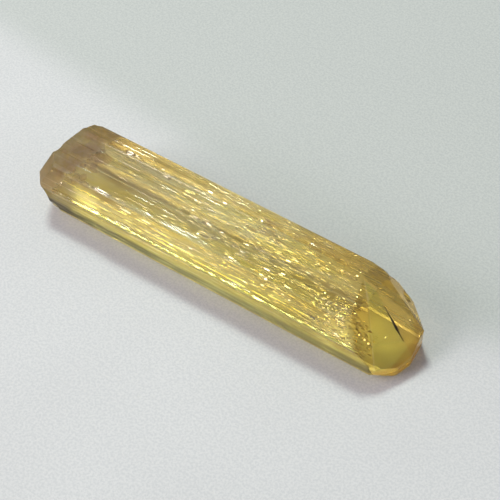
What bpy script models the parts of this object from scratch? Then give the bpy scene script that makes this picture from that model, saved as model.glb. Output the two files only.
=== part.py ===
"""One loose topaz crystal: a striated eight-sided prism, cut off by a sloping
end with small bevels on the right and by a natural break on the left."""

import math
import random

import bmesh
import bpy
from mathutils import Matrix, Vector, noise

MM = 0.001
SEED = 41

# Where the modelled crystal's middle lies before it is moved onto the origin, in millimetres.
MIDDLE_X = -0.406
MIDDLE_Y = 0.035

# Corners of the cross-section in millimetres (across, up), in order round the crystal.
# The first stretch is the flat face that the crystal lies on.
CORNERS = (
    (-2.10, 0.00),
    (2.50, 0.00),
    (3.85, 2.40),
    (3.60, 5.76),
    (1.95, 6.32),
    (-2.50, 5.00),
    (-3.70, 3.05),
    (-3.78, 1.08),
)
REST_FACE = 0

# Striations: long thin terraces on every face but the one it lies on, in millimetres.
STRIP_MIN = 0.26
STRIP_MAX = 0.62
RISER = 0.05
LEVEL_DEPTH = 0.075
LEDGE_REACH = 7.0

# The blank is longer than the finished crystal at both ends.
BLANK_HALF = 24.0
SLICES = 34

# Flat faces that end the crystal: the way each one looks and how far it lies from the
# middle of the base, in millimetres.
FAR_END = (
    ("main_slope", (0.641, -0.290, 0.711), 13.20),
    ("front_bevel", (0.508, -0.442, 0.739), 11.51),
    ("back_bevel", (0.130, 0.803, 0.582), 7.86),
    ("back_corner", (0.300, 0.745, 0.596), 10.08),
    ("back_slope", (0.619, 0.519, 0.589), 14.07),
    ("tip_back", (0.639, 0.769, 0.030), 13.62),
    ("tip_middle", (0.994, 0.099, -0.040), 18.78),
    ("tip_front", (0.957, -0.287, -0.048), 18.16),
    ("tip_side", (0.762, -0.645, -0.059), 15.20),
    ("tip_corner", (0.445, -0.890, -0.099), 10.95),
)
BROKEN_END = (
    ("break", (-0.942, 0.270, 0.200), 18.62),
    ("break_under", (-0.720, -0.556, -0.416), 14.25),
    ("break_front", (-0.567, -0.557, 0.607), 14.63),
    ("break_back", (-0.780, 0.560, -0.280), 16.30),
)

# Shell-shaped scoops of the break: the face each one is in, its place across and up on that
# face, the radius of its round and its depth, in millimetres.
SCOOPS = (
    ("break", 1.3, 4.4, 6.0, 0.22),
    ("break", -0.9, 2.9, 5.0, 0.16),
    ("break", 1.0, 1.5, 4.6, 0.20),
    ("break_back", 3.0, 2.6, 4.2, 0.20),
    ("break_front", -2.2, 4.6, 4.4, 0.10),
    ("break_under", -3.2, 2.1, 3.6, 0.12),
)

# Chips along the edges: a place on the edge, the way out of the crystal there, the radius of
# the chip's round, its depth and how many times longer than wide it is.
CHIPS = (
    ((-18.75, -0.60, 5.52), (-0.60, -0.20, 0.80), 0.9, 0.24, 1.0),
    ((-17.55, 3.55, 5.72), (-0.40, 0.70, 0.60), 0.8, 0.12, 1.6),
    ((-17.20, -3.78, 1.20), (-0.50, -0.80, -0.30), 0.9, 0.14, 1.5),
    ((17.05, -3.62, 1.50), (0.45, -0.80, 0.35), 0.8, 0.13, 1.3),
    ((17.80, -2.60, 1.62), (0.70, -0.45, 0.55), 0.7, 0.12, 0.8),
    ((18.72, -0.90, 1.52), (0.80, -0.10, 0.60), 0.8, 0.10, 0.7),
    ((18.55, 1.45, 2.45), (0.80, 0.25, 0.55), 0.7, 0.10, 0.7),
    ((16.30, 3.05, 4.00), (0.55, 0.70, 0.40), 0.8, 0.12, 1.2),
    ((14.60, 3.35, 5.40), (0.40, 0.75, 0.55), 0.9, 0.12, 1.4),
    ((12.60, 1.95, 6.30), (0.20, 0.10, 0.95), 0.9, 0.09, 1.6),
    ((3.40, -3.70, 3.05), (0.00, -0.90, 0.40), 0.9, 0.08, 2.2),
    ((-6.20, -2.50, 5.00), (0.00, -0.50, 0.85), 0.9, 0.08, 2.4),
    ((7.10, 1.95, 6.32), (0.00, 0.10, 0.99), 0.9, 0.07, 2.4),
    ((-11.60, 1.95, 6.32), (0.00, 0.10, 0.99), 0.8, 0.07, 2.0),
)

SCOOP_DETAIL = 4
CHIP_DETAIL = 3
SHARP_ANGLE = math.radians(16.0)
WELD = 0.002 * MM


def clear_scene():
    """Empty the scene of what a new file starts with."""
    for item in list(bpy.data.objects):
        bpy.data.objects.remove(item, do_unlink=True)
    for group in list(bpy.data.collections):
        bpy.data.collections.remove(group)


def new_collection(name):
    group = bpy.data.collections.new(name)
    bpy.context.scene.collection.children.link(group)
    return group


def strip_breaks(width, rng):
    """Distances along a face at which one terrace ends and the next begins."""
    marks = []
    at = rng.uniform(STRIP_MIN, STRIP_MAX) * 0.7
    while at < width - STRIP_MIN * 0.7:
        marks.append(at)
        at += rng.uniform(STRIP_MIN, STRIP_MAX)
    return marks


def section_outline(rng):
    """Points round the cross-section, each with the terrace that it belongs to.

    The resting face and the sharp corners stay where they are; every riser between two
    terraces gives one point on each of them.
    """
    points = []
    strip = 0
    count = len(CORNERS)
    for face in range(count):
        start = Vector(CORNERS[face])
        end = Vector(CORNERS[(face + 1) % count])
        along = end - start
        width = along.length
        along.normalize()
        inward = Vector((-along.y, along.x))
        points.append((start, inward, None))
        if face == REST_FACE:
            continue
        strip += 1
        for mark in strip_breaks(width, rng):
            points.append((start + along * (mark - RISER / 2), inward, strip))
            strip += 1
            points.append((start + along * (mark + RISER / 2), inward, strip))
    return points, strip + 1


def terrace_level(x, strip, base):
    """How far a terrace is sunk at x; it wanders along the crystal and ends in ledges."""
    drift = noise.noise(Vector((x / LEDGE_REACH, strip * 3.7, 1.3)))
    ledge = noise.noise(Vector((x / (LEDGE_REACH * 0.3), strip * 5.1, 8.9)))
    amount = base + 0.55 * drift
    if ledge > 0.28:
        amount += 0.35
    return LEVEL_DEPTH * min(1.0, max(0.0, amount))


def blank(points, group):
    """The long prism: a flat outline given its length."""
    curve = bpy.data.curves.new("outline", "CURVE")
    curve.dimensions = "2D"
    curve.fill_mode = "BOTH"
    curve.extrude = BLANK_HALF * MM
    line = curve.splines.new("POLY")
    line.points.add(len(points) - 1)
    for spot, (place, _inward, _strip) in zip(line.points, points):
        spot.co = (place.x * MM, place.y * MM, 0.0, 1.0)
    line.use_cyclic_u = True
    holder = bpy.data.objects.new("outline", curve)
    group.objects.link(holder)
    # the outline is drawn flat, then stood up so that its length runs along the crystal
    turn = Matrix(((0, 0, 1, 0), (1, 0, 0, 0), (0, 1, 0, 0), (0, 0, 0, 1)))
    mesh = bpy.data.meshes.new_from_object(holder)
    mesh.transform(turn)
    bpy.data.objects.remove(holder, do_unlink=True)
    bpy.data.curves.remove(curve)
    return mesh


def slice_lengthways(bm, rng):
    """Cut the prism across at uneven steps, so that its terraces can change on the way."""
    step = 2.0 * BLANK_HALF / SLICES
    for index in range(1, SLICES):
        x = -BLANK_HALF + step * (index + rng.uniform(-0.3, 0.3))
        geom = bm.verts[:] + bm.edges[:] + bm.faces[:]
        bmesh.ops.bisect_plane(
            bm, geom=geom, dist=1e-8, plane_co=(x * MM, 0.0, 0.0), plane_no=(1.0, 0.0, 0.0)
        )


def sink_terraces(bm, points, strips, rng):
    """Move each terrace inwards by its own changing depth."""
    base = [rng.uniform(-0.05, 0.95) for _ in range(strips)]
    lookup = {}
    for place, inward, strip in points:
        if strip is not None:
            lookup[(round(place.x, 3), round(place.y, 3))] = (inward, strip)
    for vert in bm.verts:
        key = (round(vert.co.y / MM, 3), round(vert.co.z / MM, 3))
        if key in lookup:
            inward, strip = lookup[key]
            depth = terrace_level(vert.co.x / MM, strip, base[strip])
            vert.co.y += inward.x * depth * MM
            vert.co.z += inward.y * depth * MM


def cut_flat(bm, look, distance):
    """Cut everything beyond one flat face away and close the cut."""
    normal = Vector(look).normalized()
    geom = bm.verts[:] + bm.edges[:] + bm.faces[:]
    cut = bmesh.ops.bisect_plane(
        bm, geom=geom, dist=1e-8, plane_co=normal * distance * MM, plane_no=normal, clear_outer=True
    )
    rim = [item for item in cut["geom_cut"] if isinstance(item, bmesh.types.BMEdge)]
    if rim:
        bmesh.ops.edgenet_fill(bm, edges=rim)


def make_material():
    material = bpy.data.materials.new("topaz")
    material.use_nodes = True
    shader = material.node_tree.nodes["Principled BSDF"]
    shader.inputs["Base Color"].default_value = (0.86, 0.70, 0.33, 1.0)
    shader.inputs["Roughness"].default_value = 0.04
    shader.inputs["IOR"].default_value = 1.62
    shader.inputs["Transmission Weight"].default_value = 1.0
    return material


def on_face(face, across, up):
    """The place on one of the flat end faces that lies this far across and up."""
    look, distance = next((way, far) for name, way, far in BROKEN_END if name == face)
    out = Vector(look).normalized()
    along = (distance - out.y * across - out.z * up) / out.x
    return Vector((along, across, up)), out


def round_cutter(name, place, out, radius, depth, stretch, detail, group):
    """A ball that reaches this deep below a place, kept out of the picture."""
    bm = bmesh.new()
    bmesh.ops.create_icosphere(bm, subdivisions=detail, radius=radius * MM)
    middle = place + out.normalized() * (radius - depth)
    bmesh.ops.scale(bm, vec=(stretch, 1.0, 1.0), verts=bm.verts)
    bmesh.ops.translate(bm, vec=middle * MM, verts=bm.verts)
    mesh = bpy.data.meshes.new(name)
    bm.to_mesh(mesh)
    bm.free()
    item = bpy.data.objects.new(name, mesh)
    item.display_type = "WIRE"
    item.hide_render = True
    group.objects.link(item)
    return item


def take_away(body, tool):
    """Subtract one cutter from the crystal for good."""
    modifier = body.modifiers.new(tool.name, "BOOLEAN")
    modifier.operation = "DIFFERENCE"
    modifier.solver = "EXACT"
    modifier.object = tool
    bpy.context.view_layer.update()
    graph = bpy.context.evaluated_depsgraph_get()
    shaped = bpy.data.meshes.new_from_object(body.evaluated_get(graph))
    body.modifiers.remove(modifier)
    spent = body.data
    body.data = shaped
    bpy.data.meshes.remove(spent)


def main():
    clear_scene()
    rng = random.Random(SEED)
    shown = new_collection("topaz crystal")
    tools = new_collection("cutters")

    points, strips = section_outline(rng)
    mesh = blank(points, tools)
    bm = bmesh.new()
    bm.from_mesh(mesh)
    bmesh.ops.remove_doubles(bm, verts=bm.verts, dist=WELD)
    slice_lengthways(bm, rng)
    sink_terraces(bm, points, strips, rng)
    for _name, look, distance in FAR_END + BROKEN_END:
        cut_flat(bm, look, distance)
    bmesh.ops.recalc_face_normals(bm, faces=bm.faces)
    bm.to_mesh(mesh)
    bm.free()
    mesh.name = "topaz_crystal"
    body = bpy.data.objects.new("topaz_crystal", mesh)
    body.data.materials.append(make_material())
    shown.objects.link(body)

    for index, (face, across, up, radius, depth) in enumerate(SCOOPS):
        place, out = on_face(face, across, up)
        tool = round_cutter(f"scoop_{index}", place, out, radius, depth, 1.0, SCOOP_DETAIL, tools)
        take_away(body, tool)
    for index, (place, way, radius, depth, stretch) in enumerate(CHIPS):
        tool = round_cutter(
            f"chip_{index}", Vector(place), Vector(way), radius, depth, stretch, CHIP_DETAIL, tools
        )
        take_away(body, tool)

    bm = bmesh.new()
    bm.from_mesh(body.data)
    bmesh.ops.translate(bm, vec=(-MIDDLE_X * MM, -MIDDLE_Y * MM, 0.0), verts=bm.verts)
    bmesh.ops.remove_doubles(bm, verts=bm.verts, dist=WELD)
    bmesh.ops.triangulate(bm, faces=bm.faces)
    bmesh.ops.dissolve_degenerate(bm, dist=WELD, edges=bm.edges)
    bmesh.ops.recalc_face_normals(bm, faces=bm.faces)
    bm.to_mesh(body.data)
    bm.free()
    for face in body.data.polygons:
        face.use_smooth = True
    body.data.set_sharp_from_angle(angle=SHARP_ANGLE)


main()
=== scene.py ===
import math
import random

import bpy
from mathutils import Euler, Matrix, Vector


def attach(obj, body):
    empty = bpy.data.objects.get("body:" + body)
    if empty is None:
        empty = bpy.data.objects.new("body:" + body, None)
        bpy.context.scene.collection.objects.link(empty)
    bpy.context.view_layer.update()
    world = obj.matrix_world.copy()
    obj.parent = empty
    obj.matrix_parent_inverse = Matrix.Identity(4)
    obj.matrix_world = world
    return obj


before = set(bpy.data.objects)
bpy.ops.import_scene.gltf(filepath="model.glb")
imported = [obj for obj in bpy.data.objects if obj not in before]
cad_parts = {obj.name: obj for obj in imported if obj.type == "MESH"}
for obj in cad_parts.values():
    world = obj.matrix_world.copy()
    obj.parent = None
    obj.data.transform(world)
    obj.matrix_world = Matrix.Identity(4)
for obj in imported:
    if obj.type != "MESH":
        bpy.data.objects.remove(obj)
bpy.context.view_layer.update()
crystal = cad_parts["topaz_crystal"]

# lengths in the dictionaries are in millimetres where their note says nothing else
mm = 0.001
# where a colour mix node has its mask, its two colours and its result
mixMask, mixFirst, mixSecond, mixResult = 0, 6, 7, 2


def inMetres(lengths):
    return [length * mm for length in lengths]


def deselectAll():
    if bpy.context.mode != "OBJECT":
        bpy.ops.object.mode_set(mode="OBJECT")
    bpy.ops.object.select_all(action="DESELECT")


def settle(piece):
    # the place goes into the mesh, so that the object sits at the origin
    deselectAll()
    piece.select_set(True)
    bpy.context.view_layer.objects.active = piece
    bpy.ops.object.transform_apply(location=True, rotation=True, scale=True)


def newMaterial(name):
    material = bpy.data.materials.new(name)
    material.use_nodes = True
    tree = material.node_tree
    return material, tree, tree.nodes["Principled BSDF"]


def objectCoords(tree):
    return tree.nodes.new("ShaderNodeTexCoord").outputs["Object"]


def splitAxes(tree, coords):
    place = tree.nodes.new("ShaderNodeSeparateXYZ")
    tree.links.new(coords, place.inputs["Vector"])
    return place.outputs


def addNode(tree, kind, label, **sockets):
    node = tree.nodes.new(kind)
    node.label = label
    for name, value in sockets.items():
        node.inputs[name].default_value = value
    return node


def addNoise(tree, coords, label, facts):
    noise = addNode(tree, "ShaderNodeTexNoise", label, **facts)
    tree.links.new(coords, noise.inputs["Vector"])
    return noise.outputs["Fac"]


def feed(tree, socket, value):
    # a socket takes a link or a plain value
    if isinstance(value, bpy.types.NodeSocket):
        tree.links.new(value, socket)
    else:
        socket.default_value = value


def mixColors(tree, label, mask, first, second, blend="MIX"):
    node = tree.nodes.new("ShaderNodeMix")
    node.label = label
    node.data_type = "RGBA"
    node.blend_type = blend
    for index, value in ((mixMask, mask), (mixFirst, first), (mixSecond, second)):
        feed(tree, node.inputs[index], value)
    return node.outputs[mixResult]


def doMath(tree, operation, *values):
    node = tree.nodes.new("ShaderNodeMath")
    node.operation = operation
    for socket, value in zip(node.inputs, values):
        feed(tree, socket, value)
    return node.outputs[0]


def between(tree, value, start, end):
    # 0 at start, 1 at end, smooth on the way; start may be the larger one
    node = tree.nodes.new("ShaderNodeMapRange")
    node.interpolation_type = "SMOOTHSTEP"
    node.inputs["From Min"].default_value = start
    node.inputs["From Max"].default_value = end
    tree.links.new(value, node.inputs["Value"])
    return node.outputs["Result"]


# streaks along the crystal, used by its surface and by what lies inside it: waves per metre
# along and across it, a shift, and the noise values where a streak starts and is full
streakFacts = {
    "sockets": ("Along", "Across", "Offset", "Low", "High"),
    "usual": (100.0, 1000.0, 0.0, 0.4, 0.6),
    "noise": {"Scale": 1.0, "Detail": 3.0, "Roughness": 0.55},
}


def makeStreakGroup(facts):
    group = bpy.data.node_groups.new("lengthwiseStreaks", "ShaderNodeTree")
    face = group.interface
    face.new_socket("Vector", in_out="INPUT", socket_type="NodeSocketVector")
    for name, value in zip(facts["sockets"], facts["usual"]):
        socket = face.new_socket(name, in_out="INPUT", socket_type="NodeSocketFloat")
        socket.default_value = value
    for name in ("Mask", "Grain"):
        face.new_socket(name, in_out="OUTPUT", socket_type="NodeSocketFloat")
    start = group.nodes.new("NodeGroupInput").outputs
    end = group.nodes.new("NodeGroupOutput").inputs
    stretch = group.nodes.new("ShaderNodeCombineXYZ")
    for axis, name in (("X", "Along"), ("Y", "Across"), ("Z", "Across")):
        group.links.new(start[name], stretch.inputs[axis])
    coords = start["Vector"]
    for operation, amount in (("MULTIPLY", stretch.outputs["Vector"]), ("ADD", start["Offset"])):
        node = group.nodes.new("ShaderNodeVectorMath")
        node.operation = operation
        group.links.new(coords, node.inputs[0])
        group.links.new(amount, node.inputs[1])
        coords = node.outputs["Vector"]
    grain = addNoise(group, coords, "streak noise", facts["noise"])
    ranged = group.nodes.new("ShaderNodeMapRange")
    ranged.interpolation_type = "SMOOTHSTEP"
    group.links.new(grain, ranged.inputs["Value"])
    group.links.new(start["Low"], ranged.inputs["From Min"])
    group.links.new(start["High"], ranged.inputs["From Max"])
    group.links.new(ranged.outputs["Result"], end["Mask"])
    group.links.new(grain, end["Grain"])
    return group


streakGroup = makeStreakGroup(streakFacts)


def addStreaks(tree, coords, settings):
    # settings that are left out have the usual value
    node = tree.nodes.new("ShaderNodeGroup")
    node.node_tree = streakGroup
    for name, value in zip(streakFacts["sockets"], settings + streakFacts["usual"][len(settings):]):
        node.inputs[name].default_value = value
    tree.links.new(coords, node.inputs["Vector"])
    return node.outputs


# camera, at the photograph's angle; the angles are in degrees
cameraFacts = {
    "azimuth": 33.96,
    "elevation": 50.0,
    "distance": 130.0,
    "target": (2.539, -0.035, 4.052),
    "lens": 106.05,
    "nearest": 5.0,
}


def placeCamera(facts):
    around = math.radians(facts["azimuth"])
    above = math.radians(facts["elevation"])
    level = math.cos(above)
    away = Vector((math.sin(around) * level, -math.cos(around) * level, math.sin(above)))
    target = Vector(inMetres(facts["target"]))
    bpy.ops.object.camera_add(location=target + away * (facts["distance"] * mm))
    camera = bpy.context.object
    camera.rotation_euler = away.to_track_quat("Z", "Y").to_euler()
    camera.data.lens = facts["lens"]
    camera.data.clip_start = facts["nearest"] * mm
    bpy.context.scene.camera = camera


placeCamera(cameraFacts)

# paper that the crystal lies on, darker behind the crystal and a little to its right by painted
# shade;
# noise scales are in waves per metre
paperFacts = {
    "size": 1200.0,
    "drop": 0.02,
    "pale": (0.785, 0.803, 0.798, 1.0),
    "dull": (0.74, 0.755, 0.75, 1.0),
    # painted shade: the paper's colour behind the crystal, and where it fades in
    "away": (0.645, 0.68, 0.65, 1.0),
    "paperShadeSpan": (6.0, 12.0),
    "paperShadeSlant": 0.12,
    "clouds": {"Scale": 38.0, "Detail": 2.0},
    "cloudShare": 0.8,
    "fibres": {"Scale": 4600.0, "Detail": 4.0, "Roughness": 0.6},
    "fibreShare": 0.35,
    "paleFrom": 0.35,
    "paleFull": 0.8,
    "fibreTone": (0.87, 0.88, 0.89, 1.0),
    "fibreFrom": 0.36,
    "fibreFull": 0.64,
    "fibreHeight": 0.03,
    "bump": 0.6,
    "roughness": 0.9,
    "shine": 0.2,
}


def layPaper(facts):
    place = (0, 0, -facts["drop"] * mm)
    bpy.ops.mesh.primitive_plane_add(size=facts["size"] * mm, location=place)
    floor = bpy.context.object
    floor.name = "floor"
    settle(floor)
    paper, tree, shader = newMaterial("paper")
    coords = objectCoords(tree)
    clouds = addNoise(tree, coords, "uneven tone", facts["clouds"])
    fibres = addNoise(tree, coords, "fibres", facts["fibres"])
    cloudTone = doMath(tree, "MULTIPLY", clouds, facts["cloudShare"])
    tone = doMath(tree, "MULTIPLY_ADD", fibres, facts["fibreShare"], cloudTone)
    paleMask = between(tree, tone, facts["paleFrom"], facts["paleFull"])
    color = mixColors(tree, "paper tone", paleMask, facts["dull"], facts["pale"])
    x, y = splitAxes(tree, coords)[:2]
    back = between(tree, doMath(tree, "MULTIPLY_ADD", x, facts["paperShadeSlant"], y),
                   *inMetres(facts["paperShadeSpan"]))
    color = mixColors(tree, "painted shade further off", back, color, facts["away"])
    grain = between(tree, fibres, facts["fibreFrom"], facts["fibreFull"])
    color = mixColors(tree, "fibres", grain, color, facts["fibreTone"], "MULTIPLY")
    tree.links.new(color, shader.inputs["Base Color"])
    bump = addNode(tree, "ShaderNodeBump", "paper grain",
                   Strength=facts["bump"], Distance=facts["fibreHeight"] * mm)
    tree.links.new(fibres, bump.inputs["Height"])
    tree.links.new(bump.outputs["Normal"], shader.inputs["Normal"])
    shader.inputs["Roughness"].default_value = facts["roughness"]
    shader.inputs["Specular IOR Level"].default_value = facts["shine"]
    floor.data.materials.append(paper)


layPaper(paperFacts)

# light: a small bright window at the back left, a wide soft one at the front left, and the
# room; places and sizes are in metres, power is in watts
lightFacts = {
    "window": {
        "place": (-0.56, 0.48, 0.90), "size": 0.26, "power": 7.6, "color": (0.88, 1.0, 0.93),
    },
    "daylight": {
        "place": (-0.25, -0.235, 0.205), "size": 0.23, "power": 1.0, "color": (1.0, 0.92, 0.97),
    },
    "roomColor": (1.0, 0.91, 0.95, 1.0),
    "roomStrength": 0.29,
}


def addWindow(name, facts):
    bpy.ops.object.light_add(type="AREA", location=facts["place"])
    lamp = bpy.context.object
    lamp.name = name
    lamp.data.shape = "SQUARE"
    lamp.data.size = facts["size"]
    lamp.data.energy = facts["power"]
    lamp.data.color = facts["color"]
    aim = -Vector(facts["place"])
    lamp.rotation_euler = aim.to_track_quat("-Z", "Y").to_euler()


def placeLight(facts):
    room = bpy.data.worlds.new("room")
    bpy.context.scene.world = room
    room.use_nodes = True
    glow = room.node_tree.nodes["Background"].inputs
    glow["Color"].default_value = facts["roomColor"]
    glow["Strength"].default_value = facts["roomStrength"]
    for name in ("window", "daylight"):
        addWindow(name, facts[name])


placeLight(lightFacts)
print("stage ready")

# the crystal's finish: clear golden, hazy in streaks, brown at the broken end, with painted shade
# low on the front side and a painted view of inner faces on the end
topazFacts = {
    "clear": (1.0, 0.99, 0.90, 1.0),
    "cream": (1.0, 0.96, 0.86, 1.0),
    "gold": (1.0, 0.92, 0.44, 1.0),
    "amber": (0.84, 0.64, 0.24, 1.0),
    "brown": (0.47, 0.335, 0.05, 1.0),
    "rosy": (0.78, 0.61, 0.34, 1.0),
    "dusky": (0.60, 0.49, 0.30, 1.0),
    "orange": (0.74, 0.40, 0.10, 1.0),
    "strip": (0.50, 0.38, 0.13, 1.0),
    "bevel": (0.60, 0.47, 0.15, 1.0),
    "olive": (0.30, 0.24, 0.06, 1.0),
    "black": (0.01, 0.006, 0.003, 1.0),
    # painted shade along the foot of the front side, darkest on the left, and its painted
    # highlights
    "footShadeLeft": (0.02, 0.02, 0.02, 1.0),
    "footShadeRight": (0.10, 0.095, 0.08, 1.0),
    "footHighlight": (0.36, 0.36, 0.34, 1.0),
    "frontDark": (0.58, 0.52, 0.22, 1.0),
    # painted refraction: the yellow-green of the inner faces seen through the end's big face
    "refractedLime": (0.68, 0.65, 0.22, 1.0),
    "ember": (0.98, 0.76, 0.30, 1.0),
    "ior": 1.62,
    "through": 0.925,
    "fill": {"Color": (0.98, 0.885, 0.13, 1.0), "Density": 110.0},
    "rubble": {"Scale": 1500.0, "Detail": 5.0, "Roughness": 0.6},
    "streaks": {
        "fine": (150.0, 7000.0, 3.1),
        "silk": (260.0, 3200.0, 7.7, 0.35, 0.65),
        "broad": (130.0, 900.0, 12.4, 0.42, 0.60),
        "stain": (210.0, 700.0, 31.9, 0.52, 0.68),
        "frontGrain": (240.0, 4600.0, 21.3, 0.47, 0.70),
    },
    # how strongly each layer covers, from 0 to 1; "Least" is the share that is always there
    "goldRight": 0.7, "goldBroad": 0.6, "goldOnEnd": 0.4,
    "stains": 0.35, "amberSide": 0.8, "rim": 0.8, "seam": 0.7, "needleLeast": 0.6,
    "duskyEdge": 0.9, "mottled": 0.35, "footHighlightShare": 0.5,
    # half the width of the needle's shadow on the skin, at its ends and at its middle
    "needleThin": 0.07, "needleThick": 0.16,
    # the haze: where it fades in along the plane of the break, how far its edge wanders, and
    # the noise values where its mottling fades in
    "hazeSpan": (-15.9, -17.0), "wander": 1.6, "mottledFrom": 0.38, "mottledFull": 0.66,
    # roughness: the clear skin, and what is added to it on each rougher part
    "smooth": 0.06, "hazeRough": 0.45, "frostRough": 0.30, "underRough": 0.25, "wallRough": 0.45,
    # bump: strength on clear skin and in the haze, strength on the break, and both heights
    "striated": 0.42, "striatedHaze": 0.08, "broken": 0.6,
    "striation": 0.03, "fracture": 0.06,
}

# slanting planes through the crystal, used as axes beside x, y and z:
# the shares of x, y and z, and a shift
planeFacts = {
    "breakPlane": (1.0, -0.268, -0.392, 0.0),
    "endPlane": (1.0, 0.0, 0.75, 0.0),
    "needlePlane": (0.247, 1.0, 0.0, -4.507),
    "edgePlane": (1.141, 1.0, 0.0, -16.48),
    "backPlane": (0.25, 1.0, 0.62, 0.0),
}

# each part of the finish lies where it has faded in along every axis that it names, from the
# first place to the second; with four places it fades out again from the third to the fourth
zoneFacts = {
    "ended": {"endPlane": (17.6, 18.0)},
    "underEnd": {"x": (9.5, 13.5), "z": (5.4, 4.8)},
    "frost": {"y": (-3.56, -3.66), "z": (2.95, 2.7)},
    # where the painted shade of the front side's foot lies
    "foot": {"y": (-3.56, -3.66), "z": (1.12, 1.26, 1.75, 2.35)},
    "footShadeRight": {"x": (-6.0, 6.0)},
    "richer": {"x": (-8.0, 16.0)},
    "amberSide": {"x": (3.0, 12.0), "y": (-0.3, 1.6)},
    "farOfNeedle": {"needlePlane": (-0.03, 0.06)},
    "wedge": {"edgePlane": (0.05, 0.2)},
    "emberTop": {"z": (2.4, 3.8)},
    "strip": {"backPlane": (8.45, 8.6)},
    "bevel": {"edgePlane": (0.05, -0.1)},
    "rim": {"z": (1.6, 1.0)},
    "seam": {"edgePlane": (-0.14, -0.04, 0.04, 0.14), "z": (2.6, 3.2, 5.2, 5.5)},
    "needleMiddle": {"z": (2.9, 3.25, 3.45, 3.8)},
    "needleReach": {"z": (2.1, 2.6, 4.4, 5.0)},
    "dusky": {"x": (-2.0, -12.0), "y": (1.2, 2.3)},
    "hazeTop": {"z": (3.0, 4.8)},
    "under": {"z": (1.0, 0.5)},
    "backWall": {"x": (9.0, 12.0), "y": (2.6, 2.9), "z": (5.3, 4.9)},
}


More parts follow.
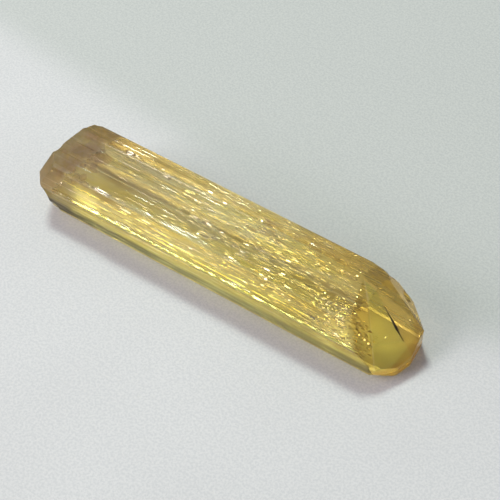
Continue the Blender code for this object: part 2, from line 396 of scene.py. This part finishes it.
def makeTopaz(facts, planes, zones):
    topaz, tree, shader = newMaterial("topaz")
    coords = objectCoords(tree)
    axes = dict(zip("xyz", splitAxes(tree, coords)))
    for name, (along, across, upward, shift) in planes.items():
        distance = doMath(tree, "MULTIPLY_ADD", axes["z"], upward, shift * mm)
        distance = doMath(tree, "MULTIPLY_ADD", axes["y"], across, distance)
        axes[name] = doMath(tree, "MULTIPLY_ADD", axes["x"], along, distance)
    streaks = {}
    for name, settings in facts["streaks"].items():
        streaks[name] = addStreaks(tree, coords, settings)
    rubble = addNoise(tree, coords, "rough break", facts["rubble"])

    def flip(value):
        return doMath(tree, "SUBTRACT", 1.0, value)

    def times(first, *others):
        for other in others:
            first = doMath(tree, "MULTIPLY", first, other)
        return first

    def plus(value, factor, other):
        return doMath(tree, "MULTIPLY_ADD", value, factor, other)

    def zone(name):
        edges = []
        for axis, span in zones[name].items():
            places = inMetres(span)
            edges.append(between(tree, axes[axis], *places[:2]))
            if len(places) > 2:
                edges.append(between(tree, axes[axis], places[3], places[2]))
        return times(*edges)

    def cover(label, mask, color):
        # one more layer over the colours so far
        layers.append(mixColors(tree, label, mask, layers[-1], color))

    ended = zone("ended")
    # the brown haze ends on a slanting line near the break
    wander = times(streaks["silk"]["Grain"], facts["wander"] * mm)
    slanted = doMath(tree, "ADD", axes["breakPlane"], wander)
    haze = between(tree, slanted, *inMetres(facts["hazeSpan"]))
    # the sloping end has clean faces, and little of the streaks shows under them
    long = times(flip(ended), flip(zone("underEnd")))
    # streaks of cream, gold and amber over the clear skin, richer towards the right
    layers = [facts["clear"]]
    cover("silk", times(streaks["silk"]["Mask"], long), facts["cream"])
    golden = times(streaks["broad"]["Mask"], facts["goldBroad"])
    golden = plus(zone("richer"), facts["goldRight"], golden)
    golden = times(golden, plus(long, 1.0 - facts["goldOnEnd"], facts["goldOnEnd"]))
    cover("gold", golden, facts["gold"])
    cover("amber stains", times(streaks["stain"]["Mask"], long, facts["stains"]), facts["amber"])
    cover("amber side", times(zone("amberSide"), facts["amberSide"]), facts["amber"])
    # behind the end's big face: a lime wedge, painted to stand for the inner faces seen through it,
    # and amber on the far side of the needle
    amber = times(ended, zone("farOfNeedle"))
    refractedLime = times(ended, flip(amber), zone("wedge"))
    ember = mixColors(tree, "ember", zone("emberTop"), facts["bevel"], facts["ember"])
    cover("amber end", amber, ember)
    cover("lime end", refractedLime, facts["refractedLime"])
    strip = times(ended, zone("strip"))
    cover("back strip", strip, facts["strip"])
    cover("front bevel", times(ended, zone("bevel")), facts["bevel"])
    cover("orange rim", times(ended, zone("rim"), facts["rim"]), facts["orange"])
    cover("olive seam", times(ended, zone("seam"), facts["seam"]), facts["olive"])
    # the needle darkens the skin over it, most at its thick middle
    middle = zone("needleMiddle")
    thin, thick = inMetres((facts["needleThin"], facts["needleThick"]))
    width = plus(middle, thick - thin, thin)
    offLine = doMath(tree, "DIVIDE", doMath(tree, "ABSOLUTE", axes["needlePlane"]), width)
    inked = plus(middle, 1.0 - facts["needleLeast"], facts["needleLeast"])
    inked = times(ended, between(tree, offLine, 1.0, 0.5), zone("needleReach"), inked)
    cover("needle", inked, facts["black"])
    cover("dusky back edge", times(zone("dusky"), facts["duskyEdge"]), facts["dusky"])
    hazeColor = mixColors(tree, "haze", zone("hazeTop"), facts["rosy"], facts["brown"])
    mottled = between(tree, rubble, facts["mottledFrom"], facts["mottledFull"])
    mottled = times(mottled, facts["mottled"])
    hazeColor = mixColors(tree, "mottled haze", mottled, hazeColor, facts["rosy"])
    cover("brown haze", haze, hazeColor)
    # the front side is frosted and streaked; its lower part is painted shade, the dark shadowed
    # floor seen in it, with painted highlights along the streaks
    frost = zone("frost")
    frontGrain = streaks["frontGrain"]["Mask"]
    foot = mixColors(tree, "foot", zone("footShadeRight"), facts["footShadeLeft"], facts["footShadeRight"])
    foot = mixColors(tree, "foot painted highlights", times(frontGrain, facts["footHighlightShare"]), foot, facts["footHighlight"])
    cover("front streaks", times(frost, flip(frontGrain)), facts["frontDark"])
    cover("painted shade foot", zone("foot"), foot)
    tree.links.new(layers[-1], shader.inputs["Base Color"])
    # the wall behind the end is rough, which blurs what shows of it
    backWall = times(zone("backWall"), flip(strip))
    rough = facts["smooth"]
    for mask, name in ((haze, "hazeRough"), (frost, "frostRough"), (zone("under"), "underRough"),
                       (backWall, "wallRough")):
        rough = plus(mask, facts[name], rough)
    tree.links.new(rough, shader.inputs["Roughness"])
    shader.inputs["IOR"].default_value = facts["ior"]
    shader.inputs["Transmission Weight"].default_value = facts["through"]
    fill = addNode(tree, "ShaderNodeVolumeAbsorption", "golden fill", **facts["fill"])
    tree.links.new(fill.outputs["Volume"], tree.nodes["Material Output"].inputs["Volume"])
    # striations on the long faces, a rough skin on the break
    lines = addNode(tree, "ShaderNodeBump", "striations", Distance=facts["striation"] * mm)
    strength = plus(haze, facts["striatedHaze"] - facts["striated"], facts["striated"])
    tree.links.new(times(long, strength), lines.inputs["Strength"])
    tree.links.new(streaks["fine"]["Grain"], lines.inputs["Height"])
    skin = addNode(tree, "ShaderNodeBump", "rough skin", Distance=facts["fracture"] * mm)
    tree.links.new(times(haze, facts["broken"]), skin.inputs["Strength"])
    tree.links.new(rubble, skin.inputs["Height"])
    tree.links.new(lines.outputs["Normal"], skin.inputs["Normal"])
    tree.links.new(skin.outputs["Normal"], shader.inputs["Normal"])
    return topaz


crystal.material_slots[0].material = makeTopaz(topazFacts, planeFacts, zoneFacts)
print("crystal finished")

# the line of the upper faces across the crystal: y and z of its corners
roofCorners = ((-3.74, 3.05), (-2.54, 5.0), (1.92, 6.32), (3.57, 5.76))
# the upper faces by their outward directions, and the direction of someone who looks
upperFaces = [Vector(face).normalized() for face in (
    (0.0, -0.28, 0.96), (0.0, -0.85, 0.52), (0.0, 0.32, 0.95), (0.0, -1.0, 0.0),
    (0.64, -0.29, 0.71), (0.51, -0.44, 0.74), (0.30, 0.74, 0.60), (0.62, 0.52, 0.59),
)]
viewer = Vector((0.359, -0.533, 0.766))


def insideDepth(place):
    found, nearest, normal = crystal.closest_point_on_mesh(place)[:3]
    return (nearest - place).dot(normal) if found else -1.0


def roofHeight(y):
    for (nearY, nearZ), (farY, farZ) in zip(roofCorners, roofCorners[1:]):
        if y <= farY * mm:
            share = (y / mm - nearY) / (farY - nearY)
            return (nearZ + (farZ - nearZ) * max(share, 0.0)) * mm
    return roofCorners[-1][1] * mm


def bend(direction, face):
    # a direction outside the crystal, as it goes on inside
    aside = (direction - face * direction.dot(face)) / topazFacts["ior"]
    return aside + face * math.sqrt(1.0 - aside.length_squared)


def mirrorTurn(place, lamp):
    # the turn of a flake that mirrors a lamp towards someone looking from the front
    normal = crystal.ray_cast(place, viewer)[2]
    face = max(upperFaces, key=lambda known: known.dot(normal))
    lampWay = Vector(lightFacts[lamp]["place"]).normalized()
    up = (bend(viewer, face) + bend(lampWay, face)).normalized()
    along = (Vector((1.0, 0.0, 0.0)) - up * up.x).normalized()
    return Matrix((along, up.cross(along), up)).transposed().to_euler()


def addBall(segments, rings):
    deselectAll()
    bpy.ops.mesh.primitive_uv_sphere_add(segments=segments, ring_count=rings, radius=1.0)
    bpy.ops.object.shade_smooth()
    return bpy.context.object


def addSpindle(segments, rings):
    # a ball whose poles become the pointed ends of a tube
    ball = addBall(segments, rings)
    bpy.ops.object.mode_set(mode="EDIT")
    bpy.ops.mesh.select_all(action="SELECT")
    bpy.ops.transform.rotate(
        value=math.pi / 2.0, orient_axis="Y", center_override=(0.0, 0.0, 0.0))
    bpy.ops.object.mode_set(mode="OBJECT")
    return ball


def addCopy(master, place, turn, size):
    copy = master.copy()
    copy.data = master.data.copy()
    bpy.context.collection.objects.link(copy)
    copy.location = place
    copy.rotation_euler = turn
    copy.scale = [length / 2.0 for length in size]
    return copy


def joinCopies(master, copies, name):
    bpy.data.objects.remove(master, do_unlink=True)
    deselectAll()
    for copy in copies:
        copy.select_set(True)
    bpy.context.view_layer.objects.active = copies[0]
    bpy.ops.object.join()
    joined = bpy.context.object
    joined.name = name
    joined.data.name = name
    settle(joined)
    return joined


def finishInner(piece, material):
    piece.data.materials.clear()
    piece.data.materials.append(material)
    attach(piece, "root")


# films of the flaws: a tone broken up by fine streaks of a paler one
usualFilm = {
    "streaks": (900.0, 6000.0, 5.3), "pale": (1.0, 0.98, 0.92, 1.0), "cover": 1.0,
}
filmFacts = {
    "tube film": {"color": (1.0, 0.94, 0.74, 1.0), "roughness": 0.10, "cover": 0.42},
    "crack film": {"color": (1.0, 0.92, 0.66, 1.0), "roughness": 0.18, "cover": 0.35},
    "bright film": {"color": (1.0, 0.97, 0.88, 1.0), "roughness": 0.05},
    "spark film": {
        "color": (0.90, 0.79, 0.27, 1.0), "pale": (0.90, 0.87, 0.64, 1.0), "roughness": 0.2,
    },
    "yellow film": {
        "color": (0.78, 0.70, 0.21, 1.0), "pale": (0.78, 0.75, 0.50, 1.0), "roughness": 0.15,
    },
    "edge film": {
        "color": (0.90, 0.82, 0.24, 1.0), "pale": (1.0, 0.94, 0.30, 1.0), "roughness": 0.2,
        "streaks": (200.0, 9000.0, 8.8, 0.25, 0.5),
    },
}


def makeFilm(name, facts):
    film, tree, shader = newMaterial(name)
    grain = addStreaks(tree, objectCoords(tree), facts["streaks"])["Mask"]
    tone = mixColors(tree, "film tone", grain, facts["color"], facts["pale"])
    tree.links.new(tone, shader.inputs["Base Color"])
    shader.inputs["Metallic"].default_value = 1.0
    shader.inputs["Roughness"].default_value = facts["roughness"]
    shader.inputs["Alpha"].default_value = facts["cover"]
    return film


films = {name: makeFilm(name, {**usualFilm, **facts}) for name, facts in filmFacts.items()}

# where the photograph shows single bright glints: x, y, z, length, width, lamp
namedGlints = (
    (-11.99, 1.96, 6.14, 1.20, 0.50, "window"), (-11.16, 1.93, 6.12, 1.10, 0.13, "daylight"),
    (-12.06, -2.38, 4.86, 2.50, 0.24, "window"), (-11.86, -2.44, 4.74, 2.00, 0.12, "window"),
    (-12.33, -2.28, 4.88, 1.70, 0.06, "window"), (-9.19, -2.66, 4.36, 2.20, 0.05, "daylight"),
    (-6.85, -2.65, 4.34, 1.80, 0.05, "daylight"), (-3.78, -3.10, 3.64, 0.85, 0.11, "daylight"),
    (-3.16, 2.08, 6.13, 0.80, 0.16, "window"), (-3.55, -0.05, 5.51, 0.45, 0.10, "window"),
    (-1.83, -1.77, 5.04, 0.45, 0.16, "window"), (2.10, -2.30, 4.88, 0.90, 0.08, "window"),
    (2.41, -2.33, 4.86, 1.05, 0.10, "window"), (2.70, -2.36, 4.84, 0.70, 0.07, "window"),
    (5.48, -1.75, 5.04, 0.95, 0.09, "window"), (5.32, -2.38, 4.84, 0.70, 0.09, "window"),
    (5.84, -2.44, 4.76, 0.50, 0.20, "daylight"), (6.34, -2.20, 4.93, 0.45, 0.20, "window"),
    (6.93, -1.45, 5.12, 0.85, 0.06, "window"), (5.70, -2.78, 4.15, 0.50, 0.13, "daylight"),
    (4.04, -3.02, 3.75, 0.70, 0.08, "daylight"), (8.01, -2.31, 4.86, 1.30, 0.10, "window"),
    (8.50, -2.81, 4.08, 0.25, 0.13, "daylight"), (11.05, -1.23, 5.16, 0.40, 0.07, "window"),
    (7.51, 1.88, 6.13, 0.30, 0.22, "window"), (2.56, 1.84, 6.14, 0.32, 0.13, "window"),
    (1.54, 1.55, 6.02, 0.65, 0.06, "window"), (6.35, 2.59, 5.91, 0.75, 0.10, "window"),
    (5.66, 2.17, 6.09, 0.24, 0.12, "window"), (-1.34, 1.77, 6.13, 0.70, 0.16, "daylight"),
    (-8.27, 1.98, 6.16, 0.55, 0.12, "daylight"), (-17.65, -2.61, 4.49, 0.26, 0.14, "daylight"),
    (-17.05, -2.80, 4.10, 0.24, 0.16, "daylight"), (-16.39, -2.91, 3.92, 0.24, 0.12, "daylight"),
    (12.68, 1.33, 5.96, 0.45, 0.16, "window"), (12.76, 1.77, 6.12, 0.30, 0.14, "window"),
    (14.27, -1.54, 4.95, 0.38, 0.30, "window"), (14.78, -1.76, 4.46, 0.30, 0.12, "window"),
    (17.91, 1.62, 3.27, 0.28, 0.26, "window"), (19.05, 1.44, 2.09, 0.22, 0.26, "daylight"),
    (15.04, 2.76, 5.79, 0.22, 0.14, "window"), (17.10, 3.33, 3.03, 0.24, 0.14, "window"),
    (15.24, -2.40, 3.73, 0.30, 0.26, "daylight"), (15.75, -2.40, 3.39, 0.42, 0.24, "daylight"),
    (16.16, -2.38, 3.12, 0.34, 0.20, "daylight"), (17.01, -0.95, 3.03, 0.20, 0.34, "daylight"),
    (13.46, 0.93, 5.80, 0.26, 0.10, "window"), (13.61, 0.40, 5.65, 0.20, 0.12, "window"),
    (13.68, -0.26, 5.43, 0.20, 0.12, "window"), (13.86, -0.86, 5.24, 0.18, 0.12, "window"),
)

# scattered flaws share these facts: how many, where along the crystal ("side" is across it,
# "height" is upright), how deep under the upper faces ("skin" at least, "reach" more on
# average), how long and wide, how thick for their width, and how unevenly turned in radians;
# flaws with lamps mirror one of them towards someone who looks from the front
scatterFacts = {"side": (-3.5, 3.4), "ball": (10, 5), "endSkin": 0.6}
flawFacts = {
    "hollow_tubes": {
        "seed": 11, "count": 340, "from": -14.0, "to": 18.0, "densest": 9.0,
        "skin": 0.12, "reach": 1.1, "long": (0.4, 2.4), "wide": (0.04, 0.09),
        "flat": 1.0, "tilt": 0.025, "film": "tube film", "spindle": (6, 6),
    },
    "healed_cracks": {
        "seed": 23, "count": 40, "from": -12.0, "to": 15.0, "densest": 9.0,
        "skin": 0.2, "reach": 1.3, "long": (0.4, 1.8), "wide": (0.15, 0.5),
        "flat": 0.06, "tilt": 0.12, "film": "crack film",
    },
    "bright_flakes": {
        "seed": 5, "count": 180, "from": -13.0, "to": 16.0, "densest": 6.0,
        "skin": 0.08, "reach": 0.35, "long": (0.2, 1.0), "wide": (0.02, 0.06),
        "flat": 0.03, "tilt": 0.035, "film": "bright film",
        "lamps": ("window", "window", "daylight"),
        "named": namedGlints,
    },
    # crowded sparks left of the sloping end
    "end_sparks": {
        "seed": 8, "count": 210, "from": 9.5, "to": 17.4, "densest": 14.0,
        "skin": 0.08, "reach": 0.4, "long": (0.15, 0.70), "wide": (0.04, 0.13),
        "flat": 0.08, "tilt": 0.08, "side": (-3.6, -0.9), "film": "spark film",
        "lamps": ("window", "daylight", "daylight"),
    },
    # the same under the bevel in front of the end's big face
    "tip_sparks": {
        "seed": 9, "count": 80, "from": 13.8, "to": 16.6, "densest": 15.4,
        "skin": 0.05, "reach": 0.35, "long": (0.12, 0.60), "wide": (0.04, 0.14),
        "flat": 0.08, "tilt": 0.09, "side": (-3.5, -1.5), "height": (1.8, 4.7),
        "film": "spark film", "lamps": ("window", "daylight"),
    },
    # small films that shimmer yellow in the daylight
    "yellow_shimmer": {
        "seed": 33, "count": 680, "from": -9.0, "to": 15.0, "densest": 6.0,
        "skin": 0.1, "reach": 0.45, "long": (0.5, 2.4), "wide": (0.012, 0.032),
        "flat": 0.05, "tilt": 0.05, "side": (-3.3, 1.6), "film": "yellow film",
        "lamps": ("daylight",),
    },
}


def pickPlace(rng, facts):
    skin, reach = inMetres((facts["skin"], facts["reach"]))
    while True:
        x = rng.triangular(*inMetres((facts["from"], facts["to"], facts["densest"])))
        y = rng.uniform(*inMetres(facts.get("side", scatterFacts["side"])))
        z = roofHeight(y) - skin - rng.expovariate(1.0 / reach)
        deepest = math.inf
        if "height" in facts:
            z = rng.uniform(*inMetres(facts["height"]))
            deepest = skin + reach
        place = Vector((x, y, z))
        if z > skin and skin < insideDepth(place) < deepest:
            return place


def scatter(name, facts):
    if "spindle" in facts:
        master = addSpindle(*facts["spindle"])
    else:
        master = addBall(*scatterFacts["ball"])
    rng = random.Random(facts["seed"])
    copies = []
    for x, y, z, long, wide, lamp in facts.get("named", ()):
        place = Vector((x, y, z)) * mm
        size = (long * mm, wide * mm, wide * mm * facts["flat"])
        copies.append(addCopy(master, place, mirrorTurn(place, lamp), size))
    while len(copies) < facts["count"]:
        place = pickPlace(rng, facts)
        long = rng.uniform(*inMetres(facts["long"]))
        wide = rng.uniform(*inMetres(facts["wide"]))
        roll = rng.gauss(*facts["roll"]) if "roll" in facts else rng.uniform(0.0, math.tau)
        turn = Euler((roll, rng.gauss(0.0, facts["tilt"]), rng.gauss(0.0, facts["tilt"])))
        if "lamps" in facts:
            base = mirrorTurn(place, rng.choice(facts["lamps"]))
            turn = Euler([angle + rng.gauss(0.0, facts["tilt"]) for angle in base])
        # both ends have to lie inside as well
        ends = Vector((long / 2.0, 0.0, 0.0))
        ends.rotate(turn)
        shallower = min(insideDepth(place + ends), insideDepth(place - ends))
        if shallower >= facts["skin"] * mm * scatterFacts["endSkin"]:
            copies.append(addCopy(master, place, turn, (long, wide, wide * facts["flat"])))
    return joinCopies(master, copies, name)


for name, facts in flawFacts.items():
    finishInner(scatter(name, facts), films[facts["film"]])
print("inner flaws finished")

# coloured veils: brown stains, violet-grey clouds, dark amber flecks at the bevel that put painted
# shade between the sparks, and the haze
veilFacts = {
    "brown_veils": {
        "seed": 31, "count": 13, "from": 1.0, "to": 9.0, "densest": 4.5,
        "skin": 0.25, "reach": 0.5, "long": (0.6, 2.4), "wide": (0.25, 0.7),
        "flat": 0.05, "tilt": 0.10, "roll": (0.15, 0.35), "side": (0.1, 2.4),
        "color": (0.62, 0.38, 0.10), "cover": 0.5,
    },
    "violet_veils": {
        "seed": 32, "count": 8, "from": -2.5, "to": 8.0, "densest": 0.5,
        "skin": 0.25, "reach": 0.5, "long": (0.8, 2.2), "wide": (0.3, 0.7),
        "flat": 0.05, "tilt": 0.12, "roll": (0.15, 0.35), "side": (-1.6, 0.4),
        "color": (0.58, 0.50, 0.50), "cover": 0.35, "shine": 0.0,
    },
    # dark flecks that stand for the shade between the sparks
    "amber_shade_flecks": {
        "seed": 34, "count": 40, "from": 13.0, "to": 16.6, "densest": 15.2,
        "skin": 0.15, "reach": 0.5, "long": (0.15, 0.6), "wide": (0.08, 0.25),
        "flat": 0.08, "tilt": 0.5, "roll": (0.5, 0.4), "side": (-3.4, -1.5),
        "height": (1.8, 4.6), "color": (0.42, 0.26, 0.03), "cover": 0.6, "lighter": 0.1,
    },
    "brown_haze": {
        "seed": 35, "count": 34, "from": -19.2, "to": -13.2, "densest": -16.5,
        "skin": 0.12, "reach": 0.35, "long": (0.6, 2.6), "wide": (0.5, 1.3),
        "flat": 0.04, "tilt": 0.15, "roll": (0.15, 0.25), "side": (-2.4, 3.4),
        "color": (0.72, 0.48, 0.14), "cover": 0.4, "lighter": 0.08, "shine": 0.0,
        "streaks": (700.0, 900.0, 2.7, 0.15, 0.60),
    },
}
# what a veil has where its own facts say nothing
usualVeil = {
    "streaks": (420.0, 2600.0, 4.4, 0.40, 0.62), "grain": (800.0, 7000.0, 9.1, 0.35, 0.65),
    "lighter": 0.5, "roughness": 0.35, "shine": 0.5,
}


def makeVeil(name, facts):
    facts = {**usualVeil, **facts}
    veil, tree, shader = newMaterial(name)
    coords = objectCoords(tree)
    streaks = addStreaks(tree, coords, facts["streaks"])["Mask"]
    grain = addStreaks(tree, coords, facts["grain"])["Mask"]
    lighter = facts["lighter"]
    pale = [lighter + (1.0 - lighter) * part for part in facts["color"]]
    tone = mixColors(tree, "veil tone", grain, (*facts["color"], 1.0), (*pale, 1.0))
    tree.links.new(tone, shader.inputs["Base Color"])
    cover = doMath(tree, "MULTIPLY", streaks, facts["cover"])
    tree.links.new(cover, shader.inputs["Alpha"])
    shader.inputs["Roughness"].default_value = facts["roughness"]
    shader.inputs["Specular IOR Level"].default_value = facts["shine"]
    return veil


for name, facts in veilFacts.items():
    finishInner(scatter(name, facts), makeVeil(name, facts))

# single dark specks: x, y, z, length, width, turn about the upright
speckFacts = {
    "places": (
        (11.04, -3.05, 3.75, 0.60, 0.36, 0.0), (9.05, -2.70, 4.10, 0.55, 0.16, 0.0),
        (9.30, -1.30, 5.00, 1.30, 0.10, -0.1), (-7.20, 1.60, 6.00, 0.75, 0.20, 1.2),
        (15.40, 3.40, 4.72, 0.20, 0.18, 0.0), (16.80, 3.50, 3.20, 0.26, 0.08, -0.7),
        (4.80, 0.70, 5.70, 0.90, 0.22, -0.2), (2.60, 1.10, 5.80, 0.55, 0.18, 0.9),
        (10.60, -2.40, 4.60, 0.60, 0.08, 0.1), (13.10, -3.10, 3.60, 0.30, 0.10, -0.5),
    ),
    "ball": (10, 6), "flat": 0.3, "roll": 0.3, "color": (0.22, 0.14, 0.05), "cover": 0.85,
}


def addSpecks(facts):
    master = addBall(*facts["ball"])
    copies = []
    for x, y, z, long, wide, turn in facts["places"]:
        size = (long * mm, wide * mm, wide * mm * facts["flat"])
        place = Vector((x, y, z)) * mm
        copies.append(addCopy(master, place, (facts["roll"], 0.0, turn), size))
    finishInner(joinCopies(master, copies, "dark_specks"), makeVeil("dark speck", facts))


addSpecks(speckFacts)
print("veils finished")

# the black needle behind the end's big face: x, y, z and half the thickness along it
needleFacts = {
    "points": (
        (15.75, 0.66, 4.78, 0.03), (16.50, 0.47, 4.07, 0.045), (16.94, 0.37, 3.63, 0.11),
        (17.36, 0.25, 3.19, 0.11), (17.72, 0.16, 2.84, 0.05), (18.25, 0.04, 2.34, 0.03),
    ),
    "sides": 8,
    "color": (0.012, 0.010, 0.008, 1.0),
    "pale": (0.05, 0.035, 0.02, 1.0),
    "streaks": (2000.0, 9000.0, 2.0),
    "roughness": 0.35,
}


def addNeedle(facts):
    deselectAll()
    places = [Vector(point[:3]) * mm for point in facts["points"]]
    first, last = places[0], places[-1]
    way = last - first
    along = way.normalized()
    # a rod of 1 mm radius, cut into rings
    bpy.ops.mesh.primitive_cylinder_add(
        vertices=facts["sides"], radius=mm, depth=way.length, end_fill_type="TRIFAN",
        location=(first + last) / 2.0, rotation=way.to_track_quat("Z", "Y").to_euler(),
    )
    needle = bpy.context.object
    needle.name = "black_needle"
    settle(needle)
    bpy.ops.object.mode_set(mode="EDIT")
    for place in places[1:-1]:
        bpy.ops.mesh.select_all(action="SELECT")
        bpy.ops.mesh.bisect(plane_co=place, plane_no=along)
    bpy.ops.object.mode_set(mode="OBJECT")
    # each ring is drawn in to its own thickness and moved onto the needle's line
    for vert in needle.data.vertices:
        far = (vert.co - first).dot(along)
        ring = min(range(len(places)), key=lambda i: abs((places[i] - first).dot(along) - far))
        off = vert.co - (first + along * far)
        vert.co = places[ring] + off * facts["points"][ring][3]
    bpy.ops.object.shade_smooth()
    black, tree, shader = newMaterial("black needle")
    grain = addStreaks(tree, objectCoords(tree), facts["streaks"])["Mask"]
    tone = mixColors(tree, "needle tone", grain, facts["color"], facts["pale"])
    tree.links.new(tone, shader.inputs["Base Color"])
    shader.inputs["Roughness"].default_value = facts["roughness"]
    finishInner(needle, black)


addNeedle(needleFacts)

# thin flakes in rows along the front mirror the daylight as bright lines; "uneven" is how
# much a step varies, and "stray" and "jitter" how far a flake is off its line and its turn
edgeFacts = {
    "seed": 3, "ball": (8, 5), "flat": 0.04, "skin": 0.02,
    "stray": 0.012, "jitter": 0.008, "uneven": (0.6, 1.4),
    "rows": (
        # line (y, z), from and to, step, length, width
        ((-3.61, 3.12), (-13.2, 14.4), 0.45, (3.5, 6.0), (0.20, 0.25)),
        ((-3.66, 2.62), (-13.0, 13.0), 1.3, (0.6, 3.0), (0.03, 0.08)),
        ((-2.90, 4.28), (-15.5, -8.0), 1.6, (2.5, 5.0), (0.03, 0.05)),
        ((-2.97, 4.16), (-14.0, 11.0), 5.0, (3.0, 7.0), (0.02, 0.035)),
        ((-3.20, 3.78), (-12.0, 11.0), 4.0, (3.0, 7.0), (0.02, 0.04)),
        ((-3.38, 3.50), (-13.0, 8.0), 3.5, (3.0, 7.0), (0.02, 0.04)),
    ),
}


def addEdgeFlakes(facts):
    master = addBall(*facts["ball"])
    rng = random.Random(facts["seed"])
    stray, skin = inMetres((facts["stray"], facts["skin"]))
    copies = []
    for line, (x, end), step, long, wide in facts["rows"]:
        while x < end:
            y, z = (value * mm + rng.gauss(0.0, stray) for value in line)
            place = Vector((x * mm, y, z))
            turn = mirrorTurn(place, "daylight")
            across = rng.uniform(*wide) * mm
            size = (rng.uniform(*long) * mm, across, across * facts["flat"])
            outer = Vector((0.0, -across / 2.0, 0.0))
            outer.rotate(turn)
            # a flake that would reach the skin moves inwards
            while insideDepth(place + outer) < skin:
                place.y += skin
            turn = Euler([angle + rng.gauss(0.0, facts["jitter"]) for angle in turn])
            copies.append(addCopy(master, place, turn, size))
            x += step * rng.uniform(*facts["uneven"])
    finishInner(joinCopies(master, copies, "edge_flakes"), films["edge film"])


addEdgeFlakes(edgeFacts)
print("needle and edge finished")

# how light is followed through the clear stone
lightPathFacts = {"bounces": 24, "throughBounces": 20, "glossyBounces": 10}


def setLook(scene, facts):
    scene.view_settings.view_transform = "Standard"
    scene.cycles.max_bounces = facts["bounces"]
    scene.cycles.transmission_bounces = facts["throughBounces"]
    scene.cycles.glossy_bounces = facts["glossyBounces"]
    scene.cycles.use_denoising = True


setLook(bpy.context.scene, lightPathFacts)
